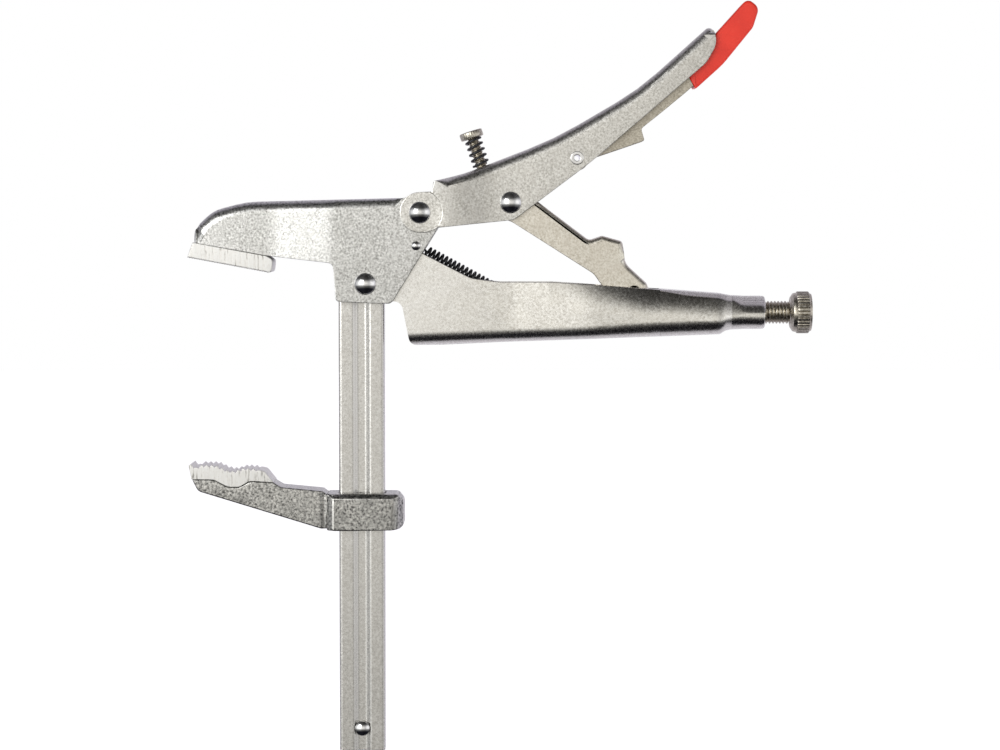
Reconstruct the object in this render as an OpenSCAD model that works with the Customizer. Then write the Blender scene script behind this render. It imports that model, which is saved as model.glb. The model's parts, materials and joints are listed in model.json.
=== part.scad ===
// Locking bar clamp: toggle pliers whose lower jaw slides on a steel rail.
// Frame: origin at the centre of the rail's lower end, +Z up the rail,
// +X towards the handles, Y across the sheet-metal plates.

/* [Rail] */
// Width of the rail, across its toothed edges
rail_w = 20; // [19.5:0.1:20]
// Thickness of the rail
rail_t = 10; // [9.6:0.1:10]
// Length of the rail
rail_l = 218.5; // [216:0.5:219]
// Width of the channel rolled down each broad face of the rail
groove_w = 7.8; // [6:0.2:9]
// Depth of that channel
groove_d = 1.6; // [1:0.1:2]
// Height of the stop pin above the rail's lower end
stop_pin_z = 9.8; // [6:0.1:20]
// Diameter of the stop pin
stop_pin_d = 5.5; // [4:0.1:6]

/* [Sheet metal] */
// Sheet thickness of the jaw and of the two handles
sheet = 2.4; // [2.2:0.1:2.4]
// Sheet thickness of the toggle link
link_sheet = 2; // [1.6:0.1:2.2]
// Sheet thickness of the release lever
lever_sheet = 1.8; // [1.4:0.1:2]
// Thickness of the dipped sleeve on the release lever
sleeve_t = 1.2; // [0.8:0.1:1.2]

/* [Rivets] */
// Shank radius of the three large pivot rivets
rivet_r = 3.4; // [3:0.1:3.6]
// Radius of their domed heads
head_r = 4.7; // [4.4:0.1:5]
// Height of their domed heads
head_h = 2.6; // [2:0.1:3]
// Running clearance of a rivet in a plate that turns on it
run_gap = 0.05; // [0.02:0.01:0.1]

/* [Adjusting screw] */
// Outer radius of its thread
screw_r = 5; // [4.9:0.05:5]
// Pitch of its thread
screw_pitch = 1.5; // [1.25:0.25:1.75]
// Radius of its knob
knob_r = 9.2; // [8:0.1:10]

/* [Stop screw] */
// Outer radius of its thread
stop_r = 2.5; // [2.3:0.1:2.5]
// Pitch of its thread
stop_pitch = 0.8; // [0.7:0.1:1]
// Lean of its axis from the vertical
stop_lean = 18; // [17:0.5:19]

/* [Clamp pads] */
// Half width of both toothed pads
pad_y = 9.2; // [8.6:0.1:9.6]
// Pitch of the pads' teeth
tooth_pitch = 2.2; // [1.8:0.1:2.6]
// Depth of the teeth
tooth_d = 1.1; // [0.6:0.1:1.2]

/* [Hidden] */
$fn = 64;

// Gap between two pieces of one body that only touch
touch = 0.03;
// Angle of one straight piece of a rounded corner
arc_step = 9;
// Length that carries a cut past the metal it cuts
over = 40;

// Pivots of the linkage, [x, z]
jaw_pivot = [2, 206.1];
handle_pivot = [25.8, 237.1];
toggle_pivot = [65.3, 241.5];
link_foot = [126.5, 193.4];
lever_pivot = [94.2, 260.8];
spring_hook = [24.1, 222.7];
fixing_pin = [-3.5, 214.2];

// Half widths of the nested plates, outwards from the rail
frame_in = rail_t / 2 + 0.1;
frame_out = frame_in + sheet;
jaw_in = frame_out + 0.25;
jaw_out = jaw_in + sheet;
nose_out = 8;
ear_in = jaw_out + 0.2;
ear_out = ear_in + sheet;
grip_out = 10.1;
link_out = 6.9;
lever_out = 6.1;
tube_out = 10.3;
coin_d = 0.5;

// Stop screw: where its head's centre is, and the lengths along its axis from there
stop_head = [48.2, 271];
stop_to_spine = 14.9;
stop_tip = 23.1;
stop_head_h = 3.2;
stop_head_r = 5.1;
stop_wire = 1;

// Adjusting screw: places along X
screw_tip = 128.9;
knob_x = 188;
knob_l = 9.2;
handle_end = 176.9;
socket_r = 7.3;

// Jaw spring: it runs from its pin on the jaw down to a tab in the lower handle
spring_lean = 28.5;
spring_coil = [5.2, 47.5];
spring_hook_r = [2.6, 2.2];
spring_r = 2.9;
spring_wire = 1.1;
spring_far = 52.6;

// ---- outlines -------------------------------------------------------------

function unit(v) = v / norm(v);

// Points round the corner b of an outline, where a and c are its neighbours
// and b is [x, z, radius]
function corner(a, b, c) =
    let (p = [b.x, b.y],
         u = unit([a.x, a.y] - p),
         v = unit([c.x, c.y] - p),
         between = acos(max(-1, min(1, u * v))))
    b[2] < 0.05 || between > 179 ? [p] :
    let (mid = p + unit(u + v) * b[2] / sin(between / 2),
         first = p + u * b[2] / tan(between / 2) - mid,
         last = p + v * b[2] / tan(between / 2) - mid,
         from = atan2(first.y, first.x),
         raw = atan2(last.y, last.x) - from,
         turn = raw > 180 ? raw - 360 : raw < -180 ? raw + 360 : raw,
         n = max(2, ceil(abs(turn) / arc_step)))
    [for (i = [0:n]) mid + b[2] * [cos(from + turn * i / n), sin(from + turn * i / n)]];

// A closed outline with each corner [x, z, radius] rounded
function rounded(pts) =
    let (n = len(pts))
    [for (i = [0:n - 1]) each corner(pts[(i + n - 1) % n], pts[i], pts[(i + 1) % n])];

// Both sides of a half outline that is given from one end of an axis to the other
function both_sides(half) =
    concat(half, [for (i = [len(half) - 1:-1:0]) [half[i].x, -half[i].y, half[i][2]]]);

// Points from a to b that zigzag by depth to the left of that line
function zigzag(a, b, pitch, depth) =
    let (n = round(norm(b - a) / pitch),
         side = unit([a.y - b.y, b.x - a.x]))
    [for (i = [0:2 * n]) a + (b - a) * i / (2 * n) + side * (i % 2 == 0 ? 0 : depth)];

// Half profile [radius, height] of a dome
function dome(r, h) =
    let (big = (r * r + h * h) / (2 * h), span = asin(r / big), n = 10)
    [for (i = [0:n]) [big * sin(span * i / n), h - big + big * cos(span * i / n)]];

// Half profile [radius, height] of a ringed thread between two heights
function thread(r, pitch, low, high) =
    let (n = floor((high - low) / pitch), root = r - 0.6 * pitch)
    concat([[0, low], [root - 0.4, low]],
           [for (i = [0:n - 1]) each [[root, low + (i + 0.25) * pitch], [r, low + (i + 0.6) * pitch],
                                      [r, low + (i + 0.75) * pitch]]],
           [[root, high], [0, high]]);

// ---- placing --------------------------------------------------------------

// A plate of the outline below, lying in X and Z, from y = from to y = to
module slab(from, to) {
    translate([0, to, 0]) rotate([90, 0, 0]) linear_extrude(to - from) children();
}

// The same outline on both sides, centred on y = 0
module block(half) {
    slab(-half, half) children();
}

// A plan outline in X and Y, standing through the whole height
module standing() {
    linear_extrude(400) children();
}

// Cylinder along Y through [x, z], from -half to half
module cross_bore(at, r, half) {
    translate([at.x, half, at.y]) rotate([90, 0, 0]) cylinder(r = r, h = 2 * half);
}

// Places children so that their +Z points along +X at [x, z]
module along_x(at) {
    translate([at.x, 0, at.y]) rotate([0, 90, 0]) children();
}

// Places children so that their +Z runs down the stop screw from its head
module on_stop_axis() {
    translate([stop_head.x, 0, stop_head.y]) rotate([0, 180 - stop_lean, 0]) children();
}

// Places children so that their +Z runs down the jaw spring from its pin
module on_spring_axis() {
    translate([spring_hook.x, 0, spring_hook.y]) rotate([0, 90 + spring_lean, 0]) children();
}

// A rivet along Y with a domed head on each side, whose heads bear at y = bear
module rivet(at, r, bear, cap_r, cap_h) {
    cross_bore(at, r, bear + 0.01);
    for (side = [-1, 1])
        translate([at.x, side * bear, at.y])
            rotate([-90 * side, 0, 0])
                rotate_extrude() polygon(concat([[0, 0]], [for (p = dome(cap_r, cap_h)) p]));
}

// ---- frame: rail and lower handle -----------------------------------------

module rail() {
    groove = [[-groove_w / 2, over, 0], [-groove_w / 2, rail_t / 2 - groove_d, 1],
              [groove_w / 2, rail_t / 2 - groove_d, 1], [groove_w / 2, over, 0]];
    color("silver") difference() {
        translate([-rail_w / 2, -rail_t / 2, 0]) cube([rail_w, rail_t, rail_l]);
        for (side = [0, 1])
            mirror([0, side, 0]) translate([0, 0, -1]) linear_extrude(rail_l + 2) polygon(rounded(groove));
        cross_bore([0, stop_pin_z], stop_pin_d / 2 + touch, over);
        cross_bore(jaw_pivot, rivet_r + touch, over);
        cross_bore(fixing_pin, 2 + touch, over);
    }
}

module rail_stop_pin() {
    color("gainsboro") rivet([0, stop_pin_z], stop_pin_d / 2, rail_t / 2 + 0.2, stop_pin_d / 2 + 0.4, 1.4);
}

module rail_fixing_pin() {
    color("gainsboro") cross_bore(fixing_pin, 2, frame_out);
}

// Side view of the lower handle: hidden cheeks round the rail, then the grip
lower_outline = [[-8, 199.2, 3], [-8, 219.4, 4], [26.4, 219.6, 2], [48, 208.5, 14], [60, 206.9, 20],
                 [84, 206.8, 30], [140, 203.1, 0], [158.6, 201.7, 2], [161, 192, 0], [159, 184, 3],
                 [60, 180.4, 30], [36, 179.3, 20], [21.4, 179.2, 3.5], [17.6, 198.4, 4], [10.2, 198.4, 0],
                 [10.2, 199.2, 0]];
// Side view of the hollow in it: open at the front for the rail and on top for the link
lower_hollow = [[-over, 190, 0], [10.1, 190, 0], [10.1, 201, 0], [19.6, 201, 5.5], [24, 181.8, 3],
                [60, 182.8, 30], [158.2, 186.3, 0], [158.2, 199.2, 0], [130.5, 200.9, 0],
                [130.5, 240, 0], [-over, 240, 0]];
// Half plans of its outside and of its hollow
lower_plan = [[-over, frame_out, 0], [66, frame_out, 60], [100, tube_out, 60], [157.5, tube_out, 3],
              [163, socket_r, 2], [170, socket_r, 0]];
lower_hollow_plan = [[-over, frame_in, 0], [66, frame_in, 60], [100, tube_out - sheet, 60],
                     [158.2, tube_out - sheet, 2]];
// Section of the closed, tubular rear half
tube_section = [[-tube_out, 183.2, 6.5], [tube_out, 183.2, 6.5], [tube_out, 204, 6.5], [-tube_out, 204, 6.5]];

// Where the far hook of the jaw spring sits, [x, z]
spring_end = spring_hook + spring_far * [cos(spring_lean), -sin(spring_lean)];

// The tab bent up from the floor of the lower handle: the spring hooks through
// its hole and over its top edge
module spring_tab() {
    tab_t = 1.6;
    tab_y = 4;
    hole_r = 1.7;
    floor_z = 182;
    top = spring_end.y + tab_t / 2;
    difference() {
        translate([spring_end.x - tab_t / 2, -tab_y, floor_z]) cube([tab_t, 2 * tab_y, top - floor_z]);
        along_x([spring_end.x - over / 2, top - tab_t - hole_r]) cylinder(r = hole_r, h = over);
    }
}

module lower_handle() {
    color("lightgray") difference() {
        union() {
            difference() {
                intersection() {
                    block(over) polygon(rounded(lower_outline));
                    standing() polygon(rounded(both_sides(lower_plan)));
                    union() {
                        translate([-over, -over, 0]) cube([130.5 + over, 2 * over, 400]);
                        translate([130.5, 0, 0]) rotate([90, 0, 90]) linear_extrude(60)
                            polygon(rounded(tube_section));
                    }
                }
                intersection() {
                    block(over) polygon(rounded(lower_hollow));
                    standing() polygon(rounded(both_sides(lower_hollow_plan)));
                }
            }
            along_x([158.4, link_foot.y]) cylinder(r1 = 8.2, r2 = socket_r, h = 4.6);
            along_x([162.9, link_foot.y]) cylinder(r = socket_r, h = handle_end - 164.7);
            along_x([handle_end - 1.8, link_foot.y]) cylinder(r1 = socket_r, r2 = socket_r - 1.2, h = 1.8);
            spring_tab();
        }
        along_x([150, link_foot.y]) cylinder(r = screw_r + 0.06, h = over);
        cross_bore(jaw_pivot, rivet_r + touch, over);
        cross_bore(fixing_pin, 2 + touch, over);
    }
}

module jaw_pivot_rivet() {
    color("white") rivet(jaw_pivot, rivet_r, jaw_out + 0.1, head_r, head_h);
}

// Extension spring: its coils, drawn as touching rings, and a ring hook at each end
module jaw_spring() {
    coil_n = floor((spring_coil[1] - spring_coil[0]) / (spring_wire * 1.8));
    step = (spring_coil[1] - spring_coil[0]) / coil_n;
    wire = spring_wire / 2;
    mean_r = spring_r - wire;
    color("dimgray") on_spring_axis() union() {
        rotate_extrude() union() {
            for (i = [0:coil_n])
                translate([mean_r, spring_coil[0] + i * step]) circle(r = wire, $fn = 16);
            translate([mean_r - 0.2, spring_coil[0]]) square([0.4, spring_coil[1] - spring_coil[0]]);
        }
        for (end = [0, 1]) {
            ring = end * spring_far;
            low = end == 0 ? spring_hook_r[0] : spring_coil[1];
            high = end == 0 ? spring_coil[0] : spring_far - spring_hook_r[1];
            translate([0, 0, ring]) rotate([90, 0, 0])
                rotate_extrude() translate([spring_hook_r[end], 0]) circle(r = wire * 0.9, $fn = 16);
            translate([0, 0, low]) cylinder(r = wire * 0.9, h = high - low);
            translate([0, 0, spring_coil[end]]) rotate([0, 90, 0]) cylinder(r = wire * 0.9, h = mean_r);
        }
    }
}

// ---- upper jaw ------------------------------------------------------------

jaw_outline = [[-72.6, 224.1, 0.6], [-72.5, 230.5, 9], [-64.5, 238, 16], [-50, 241.8, 40], [14.5, 243.4, 0],
               [18.5, 243.4, 3], [24.5, 245.3, 3], [35, 245.3, 8.5], [35.2, 233, 6], [13.2, 197.4, 2.5],
               [-10.9, 198.3, 2], [-12.2, 215, 2.5], [-41, 218.3, 8]];
// Side view of its hollow: open below, and open at the back between the two cheeks
jaw_hollow = [[-70.2, 150, 0], [-70.1, 229.6, 6.6], [-63.6, 235.7, 13.6], [-49.7, 239.4, 38],
              [14.5, 241, 0], [14.5, 300, 0], [60, 300, 0], [60, 150, 0]];
// Half plans: the nose is narrower than the cheeks that straddle the lower handle
jaw_plan = [[-73.5, 0, 0], [-73.5, nose_out, 3.5], [-38, nose_out, 60], [-13, jaw_out, 60], [over, jaw_out, 0]];
jaw_hollow_plan = [[-70.2, nose_out - sheet, 1], [-38, nose_out - sheet, 60], [-13, jaw_in, 60], [60, jaw_in, 0]];

module upper_jaw() {
    color("lightgray") difference() {
        intersection() {
            block(over) polygon(rounded(jaw_outline));
            standing() polygon(rounded(both_sides(jaw_plan)));
        }
        intersection() {
            block(over) polygon(rounded(jaw_hollow));
            standing() polygon(rounded(both_sides(jaw_hollow_plan)));
        }
        cross_bore(jaw_pivot, rivet_r + run_gap, over);
        cross_bore(handle_pivot, rivet_r + touch, over);
        cross_bore(spring_hook, 1.5 + touch, over);
    }
}

// Toothed pad welded under the nose, with a tongue that fills the nose's hollow
module upper_pad() {
    low_left = [-75.6, 217.4];
    low_right = [-40.8, 210.9];
    teeth = zigzag(low_left, low_right, tooth_pitch / 2, 0.5);
    body = concat(teeth, rounded([[low_right.x, low_right.y, 0], [-38.8, 211.2, 1.4], [-38.2, 216.6, 2],
                                  [-41.2, 218.28, 1], [-73.2, 224.16, 0.5], [low_left.x, low_left.y, 0]]));
    tongue = [[-69.4, 222, 0], [-69.4, 227.6, 1.5], [-45, 223.2, 1.5], [-45, 218, 0]];
    color("white") union() {
        difference() {
            block(pad_y) polygon(body);
            block(over) polygon([[-80, 225.44], [-41, 218.28], [-30, 216.6], [-30, 240], [-80, 240]]);
        }
        block(nose_out - sheet - 0.1) polygon(rounded(tongue));
    }
}

module spring_pin() {
    color("white") rivet(spring_hook, 1.5, jaw_out + 0.02, 2, 1);
}

module handle_pivot_rivet() {
    color("white") rivet(handle_pivot, rivet_r, ear_out - coin_d + 0.12, head_r, head_h);
}

// ---- upper handle and toggle link -----------------------------------------

handle_outline = [[17.2, 245.7, 8.6], [31.3, 246.2, 1.5], [31.9, 250.8, 1.2], [45, 254, 60], [84, 269, 150],
                  [120.8, 290.5, 110], [152.8, 319.1, 2.2], [155, 310.5, 9], [150.2, 302, 9], [100, 258.8, 120],
                  [66.8, 233.9, 8], [33.5, 230.5, 3], [28.8, 228.5, 3], [17.2, 228.5, 8.6]];
// Side view of its hollow: open below and at both ends
handle_hollow = [[0, 150, 0], [0, 248.7, 0], [34, 248.9, 0], [45.6, 251.7, 58], [85.1, 266.8, 148],
                 [122.2, 288.4, 108], [170, 331.1, 0], [170, 150, 0]];
handle_plan = [[0, ear_out, 0], [42, ear_out, 40], [56, grip_out, 40], [130, grip_out, 200], [158, grip_out - 1, 0]];
handle_hollow_plan = [[0, ear_in, 0], [42, ear_in, 40], [56, grip_out - sheet, 40], [130, grip_out - sheet, 200],
                      [170, grip_out - sheet - 0.2, 0]];

module upper_handle() {
    color("lightgray") difference() {
        union() {
            difference() {
                intersection() {
                    block(over) polygon(rounded(handle_outline));
                    standing() polygon(rounded(both_sides(handle_plan)));
                }
                intersection() {
                    block(over) polygon(rounded(handle_hollow));
                    standing() polygon(rounded(both_sides(handle_hollow_plan)));
                }
            }
            on_stop_axis() translate([0, 0, stop_to_spine + 1.2]) cylinder(r = 4.2, h = 4);
        }
        on_stop_axis() translate([0, 0, stop_to_spine - 5]) cylinder(r = stop_r + 0.06, h = 14);
        for (side = [-1, 1])
            translate([handle_pivot.x, side * (ear_out - coin_d / 2 + 1), handle_pivot.y]) rotate([90, 0, 0])
                cylinder(r = 9.8, h = coin_d + 2, center = true);
        cross_bore(handle_pivot, rivet_r + run_gap, over);
        cross_bore(toggle_pivot, rivet_r + touch, over);
        cross_bore(lever_pivot, 2.2 + touch, over);
    }
}

module toggle_rivet() {
    color("white") rivet(toggle_pivot, rivet_r, grip_out + 0.02, head_r, head_h);
}

// Hollow rivet of the release lever, rolled over at both ends
module lever_rivet() {
    color("white") difference() {
        union() {
            cross_bore(lever_pivot, 2.2, grip_out + 0.5);
            for (side = [-1, 1])
                translate([lever_pivot.x, side * (grip_out + 0.32), lever_pivot.y]) rotate([90, 0, 0])
                    cylinder(r = 2.9, h = 0.6, center = true);
        }
        cross_bore(lever_pivot, 1.3, over);
    }
}

link_outline = [[55.6, 236.6, 3.5], [53.4, 245.6, 1.6], [60.4, 248.3, 2.5], [64.3, 251.6, 1.6], [99.6, 225, 3],
                [105.4, 227, 1], [114.1, 224.6, 1.8], [115.4, 214.9, 7], [124.8, 206.3, 2.5],
                [126.3, 202, 2], [126.3, 189.5, 4.3], [116.5, 189.5, 4], [102, 210.2, 8], [66, 233, 9]];
// Side view of its hollow: open along its lower edge
link_hollow = [[40, 243.1, 0], [54, 243.7, 0], [61.1, 246.3, 1], [64.3, 249, 0.8], [99.3, 222.5, 5],
               [105.6, 224.8, 0.6], [112.3, 223, 0.8], [113.5, 214, 9], [123.3, 205.1, 1.2],
               [124.3, 202, 1], [124.3, 150, 0], [40, 150, 0]];

module toggle_link() {
    color("wheat") difference() {
        block(link_out) polygon(rounded(link_outline));
        block(link_out - link_sheet) polygon(rounded(link_hollow));
        cross_bore(toggle_pivot, rivet_r + run_gap, over);
        cross_bore([119.3, 202.6], 2.6, over);
    }
}

// ---- release lever --------------------------------------------------------

lever_outline = [[88.6, 255.4, 5], [96.4, 255.4, 5], [101.4, 260.8, 4], [123.7, 268.4, 0.9], [122.2, 273.6, 1.6], [131.5, 281, 12],
                 [141.2, 289, 3], [157, 303, 30], [169.4, 318.2, 5], [171.8, 325.4, 2.6], [168.4, 328.2, 1.8],
                 [156, 314.6, 20], [121, 284, 60], [98, 266.6, 14], [88.6, 266.4, 5]];
// Side view of its hollow: open below
lever_hollow = [[80, 200, 0], [80, 264.6, 0], [98.5, 264.7, 12], [122, 282.3, 58], [157.3, 313.3, 18],
                [167.6, 324.4, 0], [175, 316, 0], [200, 200, 0]];
sleeve_outline = [[143, 295.4, 0.8], [145.6, 290.6, 1], [157.6, 301.4, 31], [170.6, 317.4, 6],
                  [173.3, 326, 3.6], [168.2, 330, 2.8], [154.6, 315, 20], [143.4, 305.2, 1]];

module release_lever() {
    color("wheat") difference() {
        block(lever_out) polygon(rounded(lever_outline));
        block(lever_out - lever_sheet) polygon(rounded(lever_hollow));
        cross_bore(lever_pivot, 2.2 + run_gap, over);
    }
}

// Sleeve dipped over the tail of the release lever
module lever_grip() {
    color("red") difference() {
        block(lever_out + sleeve_t) polygon(rounded(sleeve_outline));
        block(lever_out + touch) polygon(rounded(lever_outline));
    }
}

// ---- stop screw -----------------------------------------------------------

module stop_spring() {
    low = stop_head_h / 2 + 0.6;
    high = stop_to_spine - 1.4;
    turns = 5;
    mean_r = stop_r + 0.4 + stop_wire / 2;
    color("dimgray") on_stop_axis() rotate_extrude() union() {
        for (i = [0:turns - 1])
            translate([mean_r, low + (high - low) * i / (turns - 1)]) circle(r = stop_wire / 2, $fn = 16);
        translate([mean_r - 0.15, low]) square([0.3, high - low]);
    }
}

module stop_screw() {
    color("tan") on_stop_axis() union() {
        rotate_extrude() polygon(thread(stop_r, stop_pitch, stop_head_h / 2 - 0.1, stop_tip));
        translate([0, 0, -stop_head_h / 2]) cylinder(r = stop_head_r, h = stop_head_h);
    }
}

// ---- adjusting screw ------------------------------------------------------

module adjusting_screw() {
    color("tan") along_x([screw_tip, link_foot.y]) union() {
        rotate_extrude() polygon(thread(screw_r, screw_pitch, 1.2, knob_x - screw_tip - 0.05));
        cylinder(r1 = 2.6, r2 = screw_r - screw_pitch * 0.6 - 0.4, h = 1.2);
    }
}

module adjusting_knob() {
    profile = [[0, 0], [6.5, 0], [knob_r - 0.9, 1.2], [knob_r - 0.9, 2.6], [knob_r, 3.2], [knob_r, knob_l - 1.6],
               [knob_r - 1.2, knob_l], [0, knob_l]];
    color("tan") along_x([knob_x, link_foot.y]) rotate_extrude() polygon(profile);
}

// ---- sliding arm ----------------------------------------------------------

// Line where the lower pad is set into the arm
seat_line = [[-38.5, 119.2, 0], [-49, 119.8, 4], [-53.2, 117.2, 4], [-58.5, 117.2, 6], [-64.5, 120.4, 5],
             [-74.3, 120.5, 0]];
arm_outline = concat([[-35.2, 117.1, 2.5]], seat_line,
                     [[-71.6, 115.2, 3.5], [-17.5, 98.7, 1.5], [-12, 98.8, 0], [-12, 114, 0],
                      [-15.5, 114.1, 0], [-17.2, 115.4, 1.5]]);
arm_plan = [[-over * 2, 8.3, 0], [-18, 8.8, 1.2], [-16.3, 7.6, 1.2], [-12, 10.4, 0]];
collar_plan = [[-15.2, 9, 1], [-12.4, 11.2, 1.8], [15.2, 11.2, 4.5], [18.7, 6, 5]];
collar_section = [[-11.2, 98, 0.8], [11.2, 98, 0.8], [11.2, 112.4, 1.5], [9, 114.2, 2], [-9, 114.2, 2],
                  [-11.2, 112.4, 1.5]];
collar_outline = [[-18, 98, 0], [13, 98.2, 4], [18.7, 99, 3.4], [18.6, 111.4, 3], [15.6, 114.2, 3], [-18, 114.2, 0]];
slide_gap = 0.15;

module sliding_arm() {
    color("gray") difference() {
        union() {
            intersection() {
                block(over) polygon(rounded(arm_outline));
                standing() polygon(rounded(both_sides(arm_plan)));
            }
            intersection() {
                standing() polygon(rounded(both_sides(collar_plan)));
                translate([-over, 0, 0]) rotate([90, 0, 90]) linear_extrude(2 * over) polygon(rounded(collar_section));
                block(over) polygon(rounded(collar_outline));
            }
        }
        translate([-rail_w / 2 - slide_gap, -rail_t / 2 - slide_gap, 90])
            cube([rail_w + 2 * slide_gap, rail_t + 2 * slide_gap, over]);
    }
}

// Toothed pad set into the arm: its teeth ride on a long wave
module lower_pad() {
    wave = [[-75.6, 127.1], [-74, 126.6], [-72.3, 125.3], [-69.8, 126.6], [-63.5, 126.4], [-59, 124.3],
            [-55.6, 123.8], [-51, 125.2], [-46, 124.8]];
    n = 2 * round((wave[8].x - wave[0].x) / tooth_pitch);
    step = (wave[8].x - wave[0].x) / n;
    teeth = [for (i = [0:n]) let (x = wave[0].x + i * step)
                [x, lookup(x, wave) + (i % 2 == 0 ? -0.5 : 0.5) * tooth_d]];
    slope = rounded([[-45, 124.7, 0], [-42.4, 124.2, 2.5], [-38.5, 119.4, 0]]);
    foot = [for (p = rounded(seat_line)) [p.x, p.y + touch]];
    color("white") block(pad_y) polygon(concat(teeth, slope, foot));
}

rail();
rail_stop_pin();
rail_fixing_pin();
lower_handle();
jaw_pivot_rivet();
upper_jaw();
upper_pad();
spring_pin();
handle_pivot_rivet();
jaw_spring();
upper_handle();
toggle_rivet();
lever_rivet();
toggle_link();
release_lever();
lever_grip();
stop_spring();
stop_screw();
adjusting_screw();
adjusting_knob();
sliding_arm();
lower_pad();
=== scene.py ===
"""Looks of the locking bar clamp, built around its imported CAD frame.

Pressed pieces keep the CAD shape and get the rounded folds and softened cut edges of
real sheet metal. Springs, screws, rivets and the knob are built as their own meshes.
Everything is in metres, in the frame of the CAD model.
"""
import json
import math

import bmesh
import bpy
import numpy as np
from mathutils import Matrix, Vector


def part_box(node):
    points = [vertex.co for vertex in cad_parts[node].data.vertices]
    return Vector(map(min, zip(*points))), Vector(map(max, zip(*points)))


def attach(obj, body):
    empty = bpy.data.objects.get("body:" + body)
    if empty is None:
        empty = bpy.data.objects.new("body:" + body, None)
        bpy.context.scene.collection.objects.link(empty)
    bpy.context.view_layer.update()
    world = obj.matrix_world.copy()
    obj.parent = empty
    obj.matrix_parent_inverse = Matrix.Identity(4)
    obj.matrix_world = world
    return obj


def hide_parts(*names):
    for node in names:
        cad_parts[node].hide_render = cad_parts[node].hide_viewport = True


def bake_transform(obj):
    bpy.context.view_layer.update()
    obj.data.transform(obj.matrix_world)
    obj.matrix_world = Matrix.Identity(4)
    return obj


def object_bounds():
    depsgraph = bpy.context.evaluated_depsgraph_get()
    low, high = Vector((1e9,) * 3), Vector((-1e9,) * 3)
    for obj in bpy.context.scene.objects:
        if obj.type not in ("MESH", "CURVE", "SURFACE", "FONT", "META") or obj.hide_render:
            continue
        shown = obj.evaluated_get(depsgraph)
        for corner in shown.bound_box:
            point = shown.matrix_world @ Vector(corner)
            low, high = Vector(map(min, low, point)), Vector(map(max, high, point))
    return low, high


MM = 0.001
FOLD_R = 4.8 * MM
THIN_FOLD_R = 2.2 * MM
CUT_R = 0.28 * MM
SCREW_PITCH = 1.5 * MM
STOP_PITCH = 0.8 * MM

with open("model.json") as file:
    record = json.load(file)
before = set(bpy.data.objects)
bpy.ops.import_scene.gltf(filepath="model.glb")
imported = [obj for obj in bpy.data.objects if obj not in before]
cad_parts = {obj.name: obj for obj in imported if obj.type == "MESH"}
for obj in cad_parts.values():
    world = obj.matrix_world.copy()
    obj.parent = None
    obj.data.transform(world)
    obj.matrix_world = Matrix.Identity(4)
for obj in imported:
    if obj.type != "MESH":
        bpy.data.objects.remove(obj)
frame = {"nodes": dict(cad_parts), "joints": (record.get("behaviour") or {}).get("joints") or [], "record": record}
cad_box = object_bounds()
record = frame["record"]
joints = {j["name"]: j for j in frame["joints"]}
body_of = {n: b for b, nodes in record["behaviour"]["bodies"].items() for n in nodes}


# ---- shader helpers ---------------------------------------------------------

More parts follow.
